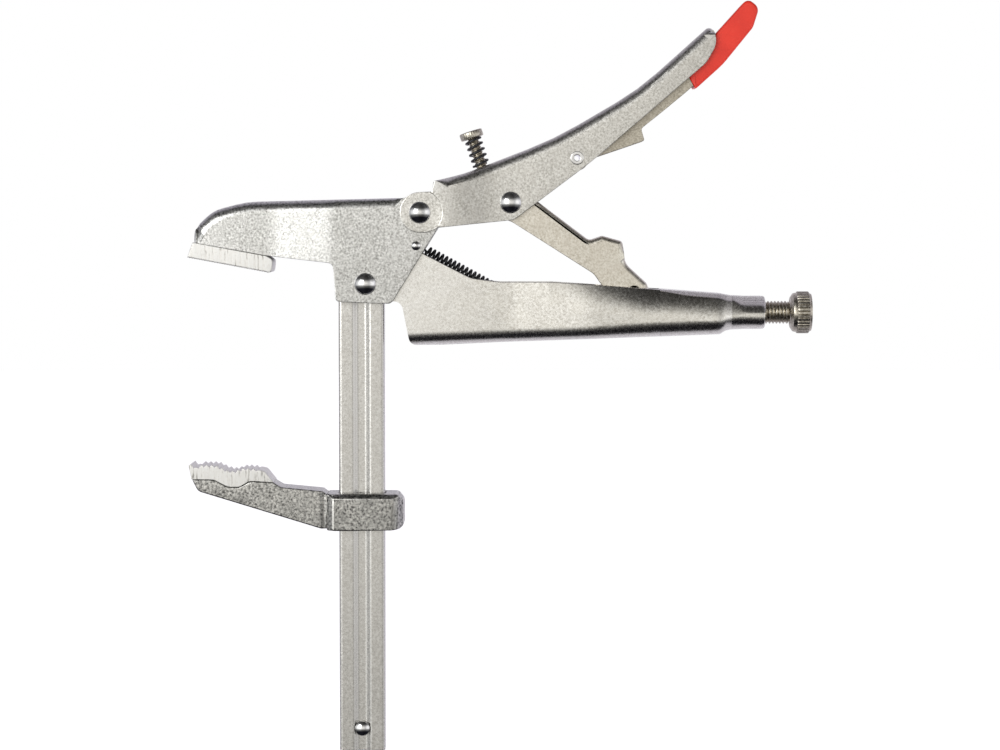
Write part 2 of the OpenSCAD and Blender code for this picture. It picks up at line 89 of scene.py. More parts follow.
class Paint:
    """A material's node tree, with short calls for the nodes used here."""

    def __init__(self, name):
        self.material = bpy.data.materials.new(name)
        self.material.use_nodes = True
        self.tree = self.material.node_tree
        self.shader = self.tree.nodes["Principled BSDF"]
        self.place = self.tree.nodes.new("ShaderNodeTexCoord").outputs["Object"]

    def link(self, a, b):
        self.tree.links.new(a, b)

    def scaled(self, x, y, z):
        node = self.tree.nodes.new("ShaderNodeMapping")
        node.inputs["Scale"].default_value = (x, y, z)
        self.link(self.place, node.inputs["Vector"])
        return node.outputs["Vector"]

    def noise(self, size, detail=2.0, rough=0.55, place=None):
        """Noise whose features are about size metres wide."""
        node = self.tree.nodes.new("ShaderNodeTexNoise")
        node.inputs["Scale"].default_value = 0.5 / size
        node.inputs["Detail"].default_value = detail
        node.inputs["Roughness"].default_value = rough
        self.link(place or self.place, node.inputs["Vector"])
        return node.outputs["Fac"]

    def ramp(self, value, stops):
        node = self.tree.nodes.new("ShaderNodeValToRGB")
        elements = node.color_ramp.elements
        while len(elements) < len(stops):
            elements.new(0.5)
        for element, (at, colour) in zip(elements, stops):
            element.position = at
            element.color = (*colour, 1) if hasattr(colour, "__len__") else (colour, colour, colour, 1)
        self.link(value, node.inputs["Fac"])
        return node.outputs["Color"]

    def mix(self, share, a, b):
        node = self.tree.nodes.new("ShaderNodeMix")
        node.data_type = "RGBA"
        if hasattr(share, "links"):
            self.link(share, node.inputs["Factor"])
        else:
            node.inputs["Factor"].default_value = share
        for value, index in ((a, 6), (b, 7)):
            if hasattr(value, "links"):
                self.link(value, node.inputs[index])
            else:
                node.inputs[index].default_value = (*value, 1)
        return node.outputs[2]

    def math(self, kind, a, b=0.0, clamp=False):
        node = self.tree.nodes.new("ShaderNodeMath")
        node.operation = kind
        node.use_clamp = clamp
        for value, index in ((a, 0), (b, 1)):
            if hasattr(value, "links"):
                self.link(value, node.inputs[index])
            else:
                node.inputs[index].default_value = value
        return node.outputs[0]

    def axes(self, vector):
        """The X, Y and Z outputs of a vector, by name."""
        node = self.tree.nodes.new("ShaderNodeSeparateXYZ")
        self.link(vector, node.inputs[0])
        return node.outputs

    def range(self, value, low, high, to_low, to_high):
        node = self.tree.nodes.new("ShaderNodeMapRange")
        limits = (("From Min", low), ("From Max", high), ("To Min", to_low), ("To Max", to_high))
        for name, number in limits:
            node.inputs[name].default_value = number
        self.link(value, node.inputs["Value"])
        return node.outputs["Result"]

    def edges(self, low=0.52, high=0.62):
        """1 on convex edges and 0 elsewhere."""
        geometry = self.tree.nodes.new("ShaderNodeNewGeometry")
        return self.range(geometry.outputs["Pointiness"], low, high, 0.0, 1.0)

    def bump(self, height, depth, strength=1.0, before=None):
        node = self.tree.nodes.new("ShaderNodeBump")
        node.inputs["Distance"].default_value = depth
        node.inputs["Strength"].default_value = strength
        self.link(height, node.inputs["Height"])
        if before is not None:
            self.link(before, node.inputs["Normal"])
        return node.outputs["Normal"]

    def finish(self, colour, roughness, normal=None, metallic=1.0, **constants):
        inputs = self.shader.inputs
        self.link(colour, inputs["Base Color"])
        self.link(roughness, inputs["Roughness"])
        if normal is not None:
            self.link(normal, inputs["Normal"])
        inputs["Metallic"].default_value = metallic
        for name, value in constants.items():
            inputs[name.replace("_", " ")].default_value = value
        return self.material


def grainy_metal(name, dark, light, tint, grain=0.9 * MM, rough=(0.22, 0.4), pebble=0.035 * MM, lean=None):
    """Satin plating over a pebbled surface: salt-and-pepper grain, slow stains and worn, brighter edges.

    lean takes the Paint and gives a normal that the grain is laid over.
    """
    p = Paint(name)
    fine = p.noise(grain * 0.5, 3.0, 0.75)
    coarse = p.noise(grain * 4, 3.0, 0.6)
    stain = p.noise(22 * MM, 3.0, 0.6)
    between = tuple((a + b) / 2 for a, b in zip(dark, light))
    speck = p.ramp(fine, [(0.36, dark), (0.5, between), (0.64, light)])
    toned = p.mix(p.range(coarse, 0.35, 0.65, 0.0, 0.35), speck, tint)
    stained = p.mix(p.range(stain, 0.5, 0.75, 0.0, 0.22), toned, tuple(c * 0.72 for c in tint))
    worn = p.mix(p.math("MULTIPLY", p.edges(), 0.5), stained, tuple(min(1.0, c * 1.12) for c in light))
    uneven = p.math("ADD", p.math("MULTIPLY", fine, 0.7), p.math("MULTIPLY", stain, 0.3))
    roughness = p.range(uneven, 0.35, 0.65, *rough)
    normal = p.bump(coarse, pebble * 0.8, 0.5, p.bump(fine, pebble, 0.6, lean(p) if lean else None))
    return p.finish(worn, roughness, normal)


def plated_sheet():
    return grainy_metal("plated_sheet", (0.44, 0.43, 0.40), (0.97, 0.96, 0.92), (0.74, 0.72, 0.68))


def handle_sheet_painted_lighter():
    """Plating of the lower handle, whose cheeks lean in towards the top edge as they near the closed end. Its
    colours are a lighter copy of the plated sheet's: painted light.
    """
    first, last = 95 * MM, 155 * MM
    top_first, top_last = section_at("lower_handle", first)[1], section_at("lower_handle", last)[1]
    slope = (top_last - top_first) / (last - first)
    lean_height, lean_depth = 13 * MM, 4.2 * MM

    def lean(p):
        axes = p.axes(p.place)
        top = p.math("ADD", p.math("MULTIPLY", axes["X"], slope), top_first - slope * first)
        below = p.math("DIVIDE", p.math("SUBTRACT", top, axes["Z"]), lean_height)
        rest = p.math("SUBTRACT", 1.0, below, clamp=True)
        curve = p.math("MULTIPLY", rest, rest)
        along = p.range(axes["X"], 82 * MM, 124 * MM, 0.0, 1.0)
        height = p.math("MULTIPLY", p.math("MULTIPLY", curve, -1.0), along)
        return p.bump(height, lean_depth)

    # lighter colours than the plated sheet: painted light on the lower handle
    return grainy_metal("handle_sheet_painted_lighter", (0.56, 0.54, 0.50), (0.98, 0.97, 0.93), (0.84, 0.82, 0.76),
                        rough=(0.2, 0.36), lean=lean)


# Same satin plating as the plated sheet, in darker colours: painted shade on the jaw, standing in for its darker
# reflections.
def jaw_sheet_painted_darker():
    return grainy_metal("jaw_sheet_painted_darker", (0.30, 0.30, 0.29), (0.96, 0.96, 0.94), (0.60, 0.60, 0.58),
                        rough=(0.24, 0.42), pebble=0.06 * MM)


def link_plating():
    return grainy_metal("link_plating", (0.58, 0.54, 0.46), (0.95, 0.91, 0.82), (0.80, 0.75, 0.66),
                        rough=(0.26, 0.42))


def lever_plating():
    return grainy_metal("lever_plating", (0.34, 0.31, 0.25), (0.80, 0.75, 0.64), (0.58, 0.53, 0.44),
                        rough=(0.3, 0.48))


def forged_arm():
    return grainy_metal("forged_arm", (0.08, 0.08, 0.08), (0.85, 0.84, 0.80), (0.32, 0.32, 0.31),
                        grain=1.1 * MM, rough=(0.2, 0.42), pebble=0.10 * MM)


def rail_steel():
    """Plated rolled bar: fine lines along it, grain, and ribs rolled into its narrow edges."""
    p = Paint("rail_steel")
    lines = p.noise(0.35 * MM, 2.0, 0.6, p.scaled(1, 1, 0.02))
    fine = p.noise(0.45 * MM, 3.0, 0.75)
    stain = p.noise(18 * MM, 3.0, 0.6)
    speck = p.ramp(fine, [(0.36, (0.52, 0.51, 0.49)), (0.64, (0.82, 0.81, 0.78))])
    toned = p.mix(p.range(lines, 0.4, 0.6, 0.0, 0.35), speck, (0.70, 0.69, 0.66))
    stained = p.mix(p.range(stain, 0.5, 0.75, 0.0, 0.2), toned, (0.55, 0.52, 0.47))
    rib_spacing = 1.2 * MM
    ribs = p.math("SINE", p.math("MULTIPLY", p.axes(p.place)["Z"], 2 * math.pi / rib_spacing))
    facing = p.tree.nodes.new("ShaderNodeNewGeometry")
    on_edge = p.range(p.math("ABSOLUTE", p.axes(facing.outputs["Normal"])["X"]), 0.9, 0.98, 0.0, 1.0)
    normal = p.bump(p.math("MULTIPLY", ribs, on_edge), 0.12 * MM, 0.8, p.bump(fine, 0.025 * MM, 0.6))
    return p.finish(stained, p.range(fine, 0.35, 0.65, 0.2, 0.38), normal)


def ground_pad():
    """Bright sheared steel: streaks across the thickness."""
    p = Paint("ground_pad")
    streaks = p.noise(0.5 * MM, 3.0, 0.7, p.scaled(1, 1, 0.12))
    fine = p.noise(0.4 * MM, 2.0, 0.7)
    speck = p.ramp(streaks, [(0.30, (0.30, 0.29, 0.27)), (0.42, (0.88, 0.87, 0.84)), (0.7, (1.0, 1.0, 0.98))])
    worn = p.mix(p.range(fine, 0.55, 0.75, 0.0, 0.3), speck, (0.60, 0.57, 0.52))
    normal = p.bump(streaks, 0.05 * MM, 0.7, p.bump(fine, 0.02 * MM, 0.5))
    return p.finish(worn, p.range(streaks, 0.35, 0.65, 0.45, 0.6), normal)


def rivet_steel():
    """Headed rivet, polished by its tool, with dark pits."""
    p = Paint("rivet_steel")
    fine = p.noise(0.3 * MM, 2.0, 0.6)
    broad = p.noise(3 * MM, 2.0, 0.5)
    colour = p.ramp(p.math("ADD", p.math("MULTIPLY", fine, 0.6), p.math("MULTIPLY", broad, 0.4)),
                    [(0.35, (0.66, 0.66, 0.67)), (0.6, (0.9, 0.9, 0.9))])
    return p.finish(colour, p.range(broad, 0.35, 0.65, 0.09, 0.2), p.bump(fine, 0.01 * MM, 0.5))


def screw_steel():
    """Bronze-grey turned steel with patches of dirt."""
    p = Paint("screw_steel")
    fine = p.noise(0.5 * MM, 3.0, 0.7)
    broad = p.noise(5 * MM, 2.0, 0.5)
    colour = p.ramp(fine, [(0.36, (0.34, 0.31, 0.26)), (0.52, (0.58, 0.54, 0.46)),
                           (0.68, (0.84, 0.80, 0.72))])
    dirty = p.mix(p.range(broad, 0.45, 0.7, 0.0, 0.3), colour, (0.40, 0.36, 0.30))
    worn = p.mix(p.math("MULTIPLY", p.edges(), 0.6), dirty, (0.80, 0.77, 0.70))
    return p.finish(worn, p.range(fine, 0.35, 0.65, 0.25, 0.42), p.bump(fine, 0.03 * MM, 0.6))


def black_spring():
    p = Paint("black_spring")
    fine = p.noise(0.5 * MM, 2.0, 0.6)
    along = p.noise(4 * MM, 2.0, 0.5)
    colour = p.ramp(p.math("MULTIPLY", fine, along),
                    [(0.1, (0.006, 0.006, 0.008)), (0.45, (0.03, 0.03, 0.035))])
    roughness = p.range(fine, 0.35, 0.65, 0.22, 0.4)
    return p.finish(colour, roughness, p.bump(fine, 0.01 * MM, 0.5), metallic=0.0)


def red_vinyl():
    """Dipped vinyl: soft gloss, slow thickness waves and a slightly deeper red where it is thick."""
    p = Paint("red_vinyl")
    wave = p.noise(9 * MM, 2.0, 0.5)
    fine = p.noise(0.7 * MM, 2.0, 0.6)
    colour = p.ramp(wave, [(0.3, (0.60, 0.016, 0.006)), (0.7, (0.78, 0.032, 0.012))])
    speck = p.mix(p.range(fine, 0.55, 0.75, 0.0, 0.15), colour, (0.85, 0.09, 0.05))
    normal = p.bump(wave, 0.25 * MM, 0.35, p.bump(fine, 0.02 * MM, 0.4))
    roughness = p.range(wave, 0.3, 0.7, 0.36, 0.48)
    return p.finish(speck, roughness, normal, metallic=0.0, Coat_Weight=0.15, Coat_Roughness=0.3)


# ---- mesh helpers -----------------------------------------------------------

def put(node, mesh, material, smooth_deg=32.0, ride=True, even=True):
    """Shows mesh in place of a CAD node, on the node's body."""
    obj = bpy.data.objects.new("look_" + node, mesh)
    bpy.context.scene.collection.objects.link(obj)
    mesh.materials.clear()
    mesh.materials.append(material)
    mesh.shade_smooth()
    mesh.set_sharp_from_angle(angle=math.radians(smooth_deg))
    if even:
        weighted = obj.modifiers.new("even", "WEIGHTED_NORMAL")
        weighted.keep_sharp = True
    if ride:
        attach(obj, body_of[node])
    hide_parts(node)
    return obj


def as_mesh(bm, name):
    bmesh.ops.recalc_face_normals(bm, faces=bm.faces)
    mesh = bpy.data.meshes.new(name)
    bm.to_mesh(mesh)
    bm.free()
    return mesh


def welded(node):
    """A CAD node's mesh with its triangles joined back into flat faces."""
    bm = bmesh.new()
    bm.from_mesh(frame["nodes"][node].data)
    bmesh.ops.remove_doubles(bm, verts=bm.verts, dist=0.004 * MM)
    bmesh.ops.dissolve_limit(bm, angle_limit=math.radians(0.4), verts=bm.verts, edges=bm.edges)
    bm.normal_update()
    return bm


def width_of(face):
    ys = [v.co.y for v in face.verts]
    return max(ys) - min(ys)


def rim_edges(bm):
    """Convex edges between an outward side face and one that crosses it, as (edge, crossing face, middle)."""
    found = []
    for edge in bm.edges:
        if len(edge.link_faces) != 2 or not edge.is_convex:
            continue
        side, rim = sorted(edge.link_faces, key=lambda f: -abs(f.normal.y))
        middle = (edge.verts[0].co + edge.verts[1].co) / 2
        if abs(side.normal.y) > 0.8 and abs(rim.normal.y) < 0.6 and side.normal.y * middle.y > 0:
            found.append((edge, rim, middle))
    return found


def round_off(bm, edges, radius, steps):
    if edges:
        bmesh.ops.bevel(bm, geom=edges, offset=radius, offset_type="OFFSET", segments=steps, profile=0.5,
                        affect="EDGES", clamp_overlap=False, loop_slide=True, miter_outer="SHARP")
        bm.normal_update()


def pressed(node, fold_r, is_fold=lambda middle, normal: True, cut_r=CUT_R, whole_rims=True):
    """A pressed channel: rounded where the sheet is folded, softened where it was cut."""
    bm = welded(node)
    low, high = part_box(node)
    across = 0.55 * (high.y - low.y)
    folds = [e for e, rim, middle in rim_edges(bm)
             if (width_of(rim) > across or not whole_rims) and is_fold(middle, rim.normal)]
    round_off(bm, folds, fold_r, 6)
    cuts = [e for e, rim, middle in rim_edges(bm) if width_of(rim) < across and e.calc_face_angle() > 1.0]
    round_off(bm, cuts, cut_r, 2)
    bmesh.ops.triangulate(bm, faces=[f for f in bm.faces if len(f.verts) > 4])
    return as_mesh(bm, node)


def softened(node, radius, steps=3, least=0.6):
    """A solid piece with all its convex edges rounded."""
    bm = welded(node)
    edges = [e for e in bm.edges if len(e.link_faces) == 2 and e.is_convex and e.calc_face_angle() > least]
    round_off(bm, edges, radius, steps)
    bmesh.ops.triangulate(bm, faces=[f for f in bm.faces if len(f.verts) > 4])
    return as_mesh(bm, node)


def turning(axis):
    """Rotation that takes +Z to axis."""
    return Vector((0, 0, 1)).rotation_difference(Vector(axis)).to_matrix()


def grid_mesh(name, rings, caps=(0, -1)):
    """Skin over rings of points, each ring closed; the rings numbered in caps are filled with fans."""
    bm = bmesh.new()
    rows = [[bm.verts.new(p) for p in ring] for ring in rings]
    for a, b in zip(rows, rows[1:]):
        n = len(a)
        for i in range(n):
            bm.faces.new((a[i], a[(i + 1) % n], b[(i + 1) % n], b[i]))
    for row in (rows[i] for i in caps):
        middle = bm.verts.new(sum((v.co for v in row), Vector()) / len(row))
        for i in range(len(row)):
            bm.faces.new((row[i], row[(i + 1) % len(row)], middle))
    return as_mesh(bm, name)


def lathe(name, profile, centre, axis, count=72, ripple=None):
    """Turns profile [(radius, height)] about axis; ripple(radius, height, angle) may move the radius."""
    turn, centre = turning(axis), Vector(centre)
    rings = []
    for radius, height in profile:
        ring = []
        for i in range(count):
            angle = 2 * math.pi * i / count
            r = ripple(radius, height, angle) if ripple else radius
            ring.append(centre + turn @ Vector((r * math.cos(angle), r * math.sin(angle), height)))
        rings.append(ring)
    return grid_mesh(name, rings)


def threaded(name, radius, pitch, start, length, axis, chamfer):
    """A rod with a true right-hand thread of 60 degree flanks."""
    per_turn, count = 12, 48
    depth = 0.6 * pitch
    turn, start = turning(axis), Vector(start)
    rings = []
    steps = int(length / pitch * per_turn)
    for j in range(steps + 1):
        height = length * j / steps
        ring = []
        for i in range(count):
            angle = 2 * math.pi * i / count
            phase = (height / pitch - i / count) % 1.0
            crest = min(1.0, max(0.0, 1.25 - 2.5 * abs(phase - 0.5)))
            r = radius - depth * (1 - crest)
            ends = min(height, length - height)
            r = min(r, radius - max(0.0, chamfer - ends))
            ring.append(start + turn @ Vector((r * math.cos(angle), r * math.sin(angle), height)))
        rings.append(ring)
    return grid_mesh(name, rings)


def tube(name, path, radius, sides=10):
    """Round wire along a path of points, carried without twist."""
    points = [Vector(p) for p in path]
    rings = []
    normal = None
    for i, point in enumerate(points):
        ahead = (points[min(i + 1, len(points) - 1)] - points[max(i - 1, 0)]).normalized()
        if normal is None:
            normal = ahead.orthogonal().normalized()
        normal = (normal - ahead * normal.dot(ahead)).normalized()
        other = ahead.cross(normal)
        ring = []
        for k in range(sides):
            angle = 2 * math.pi * k / sides
            ring.append(point + radius * (normal * math.cos(angle) + other * math.sin(angle)))
        rings.append(ring)
    return grid_mesh(name, rings)


def eased(points, rounds):
    """Smooths a path without moving its ends."""
    points = np.array(points, float)
    for _ in range(rounds):
        points[1:-1] = 0.25 * points[:-2] + 0.5 * points[1:-1] + 0.25 * points[2:]
    return points


def middle_of(node):
    low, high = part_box(node)
    return (low + high) / 2


# ---- pieces -----------------------------------------------------------------

def build_sheet_metal(finish):
    web_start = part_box("upper_handle")[0].x + 16.0 * MM

    def on_top(at, normal):
        return at.x > web_start and normal.z > 0.3 and section_at("upper_handle", at.x)[1] - at.z < 1.5 * MM

    jaw = pressed("upper_jaw", FOLD_R, lambda at, n: n.z > 0.35)
    handle = pressed("upper_handle", FOLD_R, on_top, whole_rims=False)
    link = pressed("toggle_link", THIN_FOLD_R, lambda at, n: n.z > 0.2)
    lever = pressed("release_lever", THIN_FOLD_R * 0.8, lambda at, n: n.z > 0.3)
    put("upper_jaw", jaw, finish["jaw"])
    put("upper_handle", handle, finish["sheet"])
    build_lower_handle(finish)
    put("toggle_link", link, finish["link"])
    put("release_lever", lever, finish["lever"])


EDGE_ENDS = {}


def edge_ends(node):
    """Both ends of every edge of a CAD node, as two arrays of points."""
    if node not in EDGE_ENDS:
        mesh = frame["nodes"][node].data
        co = np.array([v.co for v in mesh.vertices])
        pairs = np.array([e.vertices for e in mesh.edges])
        EDGE_ENDS[node] = co[pairs[:, 0]], co[pairs[:, 1]]
    return EDGE_ENDS[node]


def section_at(node, x):
    """Lowest and highest z and the half width of a CAD node in the plane at x."""
    a, b = edge_ends(node)
    cross = (a[:, 0] - x) * (b[:, 0] - x) <= 0
    a, b = a[cross], b[cross]
    span = b[:, 0] - a[:, 0]
    share = np.clip((x - a[:, 0]) / np.where(np.abs(span) < 1e-9, 1e-9, span), 0, 1)[:, None]
    hit = a + (b - a) * share
    return hit[:, 2].min(), hit[:, 2].max(), np.abs(hit[:, 1]).max()


def smooth_step(x, low, high):
    t = min(1.0, max(0.0, (x - low) / (high - low)))
    return t * t * (3 - 2 * t)


def fold_radii(x, tall, wide, close_x):
    """Radii of the lower handle's bottom and top folds at x; the handle closes into a tube at close_x."""
    full = min(tall / 2, wide)
    bottom = 5.6 + 1.4 * smooth_step(x, 90 * MM, close_x)
    top = 1.2 * smooth_step(x, close_x - 20 * MM, close_x) + 1.8 * smooth_step(x, close_x, close_x + 14 * MM)
    return min(full, bottom * MM), min(full, top * MM)


HANDLE_CLOSE_X = 130.5 * MM


def build_lower_handle(finish):
    """Channel with deeply rounded folds that closes into a tube, with the screw's socket drawn out of its end."""
    low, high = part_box("lower_handle")
    close_x = HANDLE_CLOSE_X
    front, back = 30 * MM, close_x - 1 * MM
    bm = welded("lower_handle")
    across = 0.55 * (high.y - low.y)
    cuts = [e for e, rim, middle in rim_edges(bm) if width_of(rim) < across and e.calc_face_angle() > 1.0]
    round_off(bm, cuts, CUT_R, 2)

    def slice_at(point, normal, clear=False):
        bmesh.ops.bisect_plane(bm, geom=bm.verts[:] + bm.edges[:] + bm.faces[:], dist=0.002 * MM,
                               plane_co=point, plane_no=normal, clear_outer=clear)

    slice_at((close_x, 0, 0), (1, 0, 0), True)
    bottom_at_front = section_at("lower_handle", front)[0]
    for i in range(8):
        slice_at((close_x - 4 * MM * (i + 1), 0, 0), (1, 0, 0))
    stretches = [(low.x, 64 * MM), (64 * MM, 96 * MM), (96 * MM, back)]
    near_front = section_at("lower_handle", stretches[0][1])[0]
    front_slope = (near_front - bottom_at_front) / (stretches[0][1] - front)
    for first, last in stretches[1:]:
        slice_at((first, 0, 0), (1, 0, 0))
    for first, last in stretches:
        start = max(first, front)
        z_first, z_last = (section_at("lower_handle", x)[0] for x in (start, last - 0.5 * MM))
        lean = (z_last - z_first) / (last - 0.5 * MM - start)
        for i in range(1, 13):
            depth = 7.0 * MM * (1 - math.cos(math.radians(7.4 * i)))
            faces = [f for f in bm.faces if first <= f.calc_center_median().x <= last]
            parts = faces + list({e for f in faces for e in f.edges}) + list({v for f in faces for v in f.verts})
            bmesh.ops.bisect_plane(bm, geom=parts, dist=0.002 * MM, plane_co=(start, 0, z_first + depth),
                                   plane_no=(-lean, 0, 1))
    sections = {}
    for v in bm.verts:
        x = round(min(max(v.co.x, low.x + 0.5 * MM), back), 5)
        if x not in sections:
            sections[x] = section_at("lower_handle", x)
        bottom, top, wide = sections[x]
        line = bottom_at_front + front_slope * (x - front)
        rb, rt = fold_radii(v.co.x, top - bottom, wide, close_x)
        under, over = v.co.z - (bottom if x > front else line), top - v.co.z
        inset = 0.0
        if under < rb:
            inset += rb - math.sqrt(max(0.0, rb * rb - (rb - max(0.0, under)) ** 2))
        if over < rt:
            inset += rt - math.sqrt(max(0.0, rt * rt - (rt - max(0.0, over)) ** 2))
        v.co.y *= (wide - inset) / wide
    bmesh.ops.triangulate(bm, faces=[f for f in bm.faces if len(f.verts) > 4])
    bm.from_mesh(handle_tube(close_x - 0.1 * MM, high.x))
    put("lower_handle", as_mesh(bm, "lower_handle"), finish["handle"], 38)


def handle_tube(start, end):
    """Closed rear of the lower handle, necked down to the round socket."""
    socket = section_at("lower_handle", end - 4 * MM)
    channel = section_at("lower_handle", start - 1 * MM)
    neck = end - 15 * MM
    settled = start + 12 * MM
    stations = list(np.linspace(start, neck, 14)) + list(np.linspace(neck, end - 8 * MM, 12))[1:]
    stations += [end - 5 * MM, end - 2.2 * MM]
    shapes = []
    for x in stations:
        blend = smooth_step(x, neck, end - 8.5 * MM)
        shape = section_at("lower_handle", min(max(x, settled), neck))
        if x < settled:
            t = (x - start) / (settled - start)
            shape = tuple(a + (b - a) * t for a, b in zip(channel, shape))
        shape = tuple(a + (b - a) * blend for a, b in zip(shape, socket))
        rb, rt = fold_radii(x, shape[1] - shape[0], shape[2], start)
        full = (shape[1] - shape[0]) / 2
        shapes.append((x, *shape, rb + (full - rb) * blend, rt + (full - rt) * blend))
    for a in (25, 50, 75, 90):
        shrink = 1.3 * MM * (1 - math.cos(math.radians(a)))
        x = end - 1.3 * MM + 1.3 * MM * math.sin(math.radians(a))
        radius = (socket[1] - socket[0]) / 2 - shrink
        shapes.append((x, socket[0] + shrink, socket[1] - shrink, socket[2] - shrink, radius, radius))
    rings = []
    for x, bottom, top, wide, rb, rt in shapes:
        ring = []
        rb, rt = min(rb, wide), min(max(rt, 0.3 * MM), wide)
        for side, up, r, first in ((1, -1, rb, -90), (1, 1, rt, 0), (-1, 1, rt, 90), (-1, -1, rb, 180)):
            cy = side * (wide - r)
            cz = top - r if up > 0 else bottom + r
            for i in range(10):
                angle = math.radians(first + 2 + 9.55 * i)
                ring.append(Vector((x, cy + r * math.cos(angle), cz + r * math.sin(angle))))
        rings.append(ring)
    return grid_mesh("handle_tube", rings, caps=(-1,))


def build_grip(finish):
    grip = put("lever_grip", softened("lever_grip", 1.1 * MM, 4, 0.8), finish["vinyl"], 60)
    grip.visible_glossy = False


def build_arm(finish):
    put("sliding_arm", softened("sliding_arm", 0.7 * MM, 3, 0.6), finish["arm"], 40)
    put("lower_pad", softened("lower_pad", 0.2 * MM, 2, 0.5), finish["pad"], 35)
    put("upper_pad", softened("upper_pad", 0.3 * MM, 2, 0.5), finish["pad"], 35)


def build_rail(finish):
    """Bar with rounded edges and a smooth rolled groove down both broad faces."""
    low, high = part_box("rail")
    half_x, half_y = high.x, high.y
    corner, groove_half, depth = 1.3 * MM, 4.1 * MM, 1.5 * MM

    def groove(x):
        return depth * smooth_step(groove_half - abs(x), 0.0, 2.7 * MM)

    def rounded(side, end, angles):
        turns = [math.radians(a) for a in angles]
        return [(side * (half_x - corner + corner * math.cos(t)), end * (half_y - corner) + corner * math.sin(t))
                for t in turns]

    across = np.linspace(-(half_x - corner), half_x - corner, 61)
    ring = [(x, -(half_y - groove(x))) for x in across]
    ring += rounded(1, -1, range(-75, 1, 15))
    ring += rounded(1, 1, range(0, 76, 15))
    ring += [(x, half_y - groove(x)) for x in across[::-1]]
    ring += rounded(-1, 1, range(75, -1, -15))
    ring += rounded(-1, -1, range(0, -76, -15))
    edge = 0.25 * MM
    levels = ((low.z, 0.97), (low.z + edge, 1.0), (high.z - edge, 1.0), (high.z, 0.97))
    rings = [[Vector((x * k, y * k, z)) for x, y in ring] for z, k in levels]
    put("rail", grid_mesh("rail", rings), finish["rail"])


def rivet(node, finish, head_h, collar=0.35 * MM):
    """Shank with a domed head at each end, each head with a small flat rim."""
    low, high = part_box(node)
    reach = (high.y - low.y) / 2
    head_r = (high.x - low.x) / 2
    seat = reach - head_h
    ball = (head_r ** 2 + (head_h - collar) ** 2) / (2 * (head_h - collar))
    profile = []
    steps = 14
    for i in range(steps + 1):
        angle = math.asin(head_r / ball) * i / steps
        profile.append((max(0.02 * MM, ball * math.sin(angle)), reach - ball * (1 - math.cos(angle))))
    profile += [(head_r, seat + collar * 0.4), (head_r - 0.15 * MM, seat), (head_r * 0.72, seat)]
    both = profile + [(r, -h) for r, h in reversed(profile)]
    put(node, lathe(node, both, middle_of(node), (0, 1, 0)), finish["rivet"], 50)


def build_rivets(finish):
    for node in ("jaw_pivot_rivet", "handle_pivot_rivet", "toggle_rivet"):
        rivet(node, finish, 2.6 * MM)
    rivet("spring_pin", finish, 1.0 * MM, 0.15 * MM)
    rivet("rail_stop_pin", finish, 1.4 * MM, 0.2 * MM)
    put("lever_rivet", softened("lever_rivet", 0.25 * MM, 3, 0.8), finish["rivet"], 50)
    put("rail_fixing_pin", softened("rail_fixing_pin", 0.2 * MM, 2, 0.8), finish["rivet"], 50)


def build_adjusting_screw(finish):
    low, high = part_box("adjusting_screw")
    centre = middle_of("adjusting_screw")
    start = Vector((low.x, centre.y, centre.z))
    radius, length = (high.z - low.z) / 2, high.x - low.x
    mesh = threaded("adjusting_screw", radius, SCREW_PITCH, start, length, (1, 0, 0), 1.0 * MM)
    put("adjusting_screw", mesh, finish["screw"], 40)


def build_knob(finish):
    """Knob with straight knurling, a plain shoulder on the screw's side and a dished end."""
    low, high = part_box("adjusting_knob")
    centre = middle_of("adjusting_knob")
    radius, length = (high.z - low.z) / 2, high.x - low.x
    ribs, groove = 38, 0.3 * MM
    knurl = (0.30 * length, 0.88 * length)

    def ripple(r, height, angle):
        if knurl[0] <= height <= knurl[1] and r > 0.9 * radius:
            wave = abs(math.sin(angle * ribs / 2))
            return r - groove * (1 - min(1.0, 1.6 * wave))
        return r

    profile = [(0.02 * MM, 0.5 * MM), (0.55 * radius, 0.5 * MM), (0.62 * radius, 0), (0.72 * radius, 0.0),
               (0.90 * radius, 0.12 * length), (0.93 * radius, 0.20 * length), (0.93 * radius, 0.28 * length),
               (0.95 * radius, 0.295 * length), (0.985 * radius, 0.31 * length), (radius, 0.34 * length),
               (radius, 0.5 * length), (radius, 0.7 * length), (radius, 0.84 * length),
               (0.985 * radius, 0.875 * length), (0.95 * radius, 0.885 * length),
               (0.93 * radius, 0.90 * length), (0.88 * radius, length),
               (0.75 * radius, length), (0.7 * radius, length - 0.3 * MM), (0.02 * MM, length - 0.5 * MM)]
    start = Vector((low.x, centre.y, centre.z))
    mesh = lathe("adjusting_knob", profile, start, (1, 0, 0), ribs * 8, ripple)
    put("adjusting_knob", mesh, finish["screw"], 30)


def stop_frame():
    """The stop screw's axis, pointing out of its head, and a point on it inside the head."""
    joint = joints["stop_screw_turn"]
    return Vector(joint["axis"]).normalized(), Vector(joint["pos_m"])


